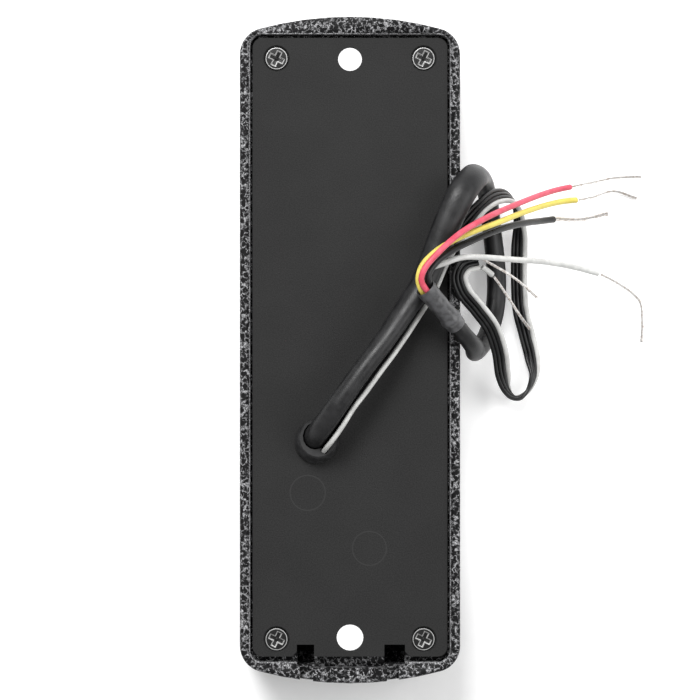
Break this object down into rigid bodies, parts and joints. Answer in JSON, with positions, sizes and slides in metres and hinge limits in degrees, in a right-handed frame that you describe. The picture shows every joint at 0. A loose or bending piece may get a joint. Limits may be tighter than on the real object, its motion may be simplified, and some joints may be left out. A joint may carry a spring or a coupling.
{
  "type": "rfid card reader",
  "caption": "Slim wall-mounted RFID card reader in a die-cast case, seen with its back plate, cable outlet, looped cable and a sprung bell button on the front.",
  "frame": {"origin": "centre of the case's footprint on the plane of its front face, on which it lies", "axes": "+Z from the front face towards the wall side, +Y towards the reader's top, +X to the right when the wall side is looked at with the top up"},
  "size_m": [0.094, 0.1512, 0.0369],
  "materials": {
    "hammered_paint": "hammered grey-black paint on a die-cast case, paler veins between dark dimples",
    "plate_plastic": "fine-grained matte black",
    "black_rubber": "matte",
    "dark_nickel": "dark nickel plating, bright edges",
    "window_plastic": "smooth gloss black",
    "light_guide_plastic": "clear, slightly milky",
    "bright_steel": "brushed stainless",
    "pale_nylon": "natural nylon",
    "black_epoxy": "moulded epoxy",
    "green_laminate": "green solder resist on glass-fibre laminate",
    "enamelled_copper": "wound enamelled copper wire",
    "cable_jacket": "soft satin black jacket",
    "sleeve_plastic": "dull dark grey shrunk sleeve",
    "black_insulation": "satin black insulation",
    "red_insulation": "satin red insulation",
    "yellow_insulation": "satin yellow insulation",
    "white_insulation": "satin white insulation",
    "tinned_copper": "twisted bare tinned strands"
  },
  "bodies": {
    "housing": {"case": "hammered_paint", "back_plate": "plate_plastic", "back_gasket": "black_rubber", "plate_screw_top_left": "dark_nickel", "plate_screw_top_right": "dark_nickel", "plate_screw_bottom_left": "dark_nickel", "plate_screw_bottom_right": "dark_nickel", "reader_window": "window_plastic", "window_seal": "black_rubber", "light_guide": "light_guide_plastic", "button_seal": "black_rubber", "button_spring": "bright_steel", "switch_body": "black_epoxy", "circuit_board": "green_laminate", "board_screw_top_left": "bright_steel", "board_screw_top_right": "bright_steel", "board_screw_bottom_left": "bright_steel", "board_screw_bottom_right": "bright_steel", "antenna_coil": "enamelled_copper", "controller_chip": "black_epoxy", "reader_chip": "black_epoxy", "voltage_regulator": "black_epoxy", "crystal": "bright_steel", "capacitor": "bright_steel", "sounder": "black_epoxy", "status_light_left": "light_guide_plastic", "status_light_middle": "light_guide_plastic", "status_light_right": "light_guide_plastic", "cable_header": "pale_nylon", "cable_plug": "pale_nylon", "lead_header": "pale_nylon", "lead_plug": "pale_nylon", "cable_grommet": "black_rubber", "main_cable": "cable_jacket", "shrink_sleeve": "sleeve_plastic", "flat_lead": "black_insulation", "red_wire": "red_insulation", "yellow_wire": "yellow_insulation", "black_wire": "black_insulation", "white_wire": "white_insulation", "red_wire_strands": "tinned_copper", "yellow_wire_strands": "tinned_copper", "black_wire_strands": "tinned_copper", "white_wire_strands": "tinned_copper", "lead_strands_dark": "tinned_copper", "lead_strands_pale": "tinned_copper", "lead_stub": "white_insulation"},
    "button": {"button_cap": "bright_steel", "switch_plunger": "pale_nylon"}
  },
  "joints": [
    {"name": "button_press", "type": "slide", "parent": "housing", "child": "button", "axis": [0, 0, 1], "range_m": [0, 0.0008], "stiffness_N_per_m": 400, "springref_m": -0.003, "deforming": ["button_spring"]}
  ]
}
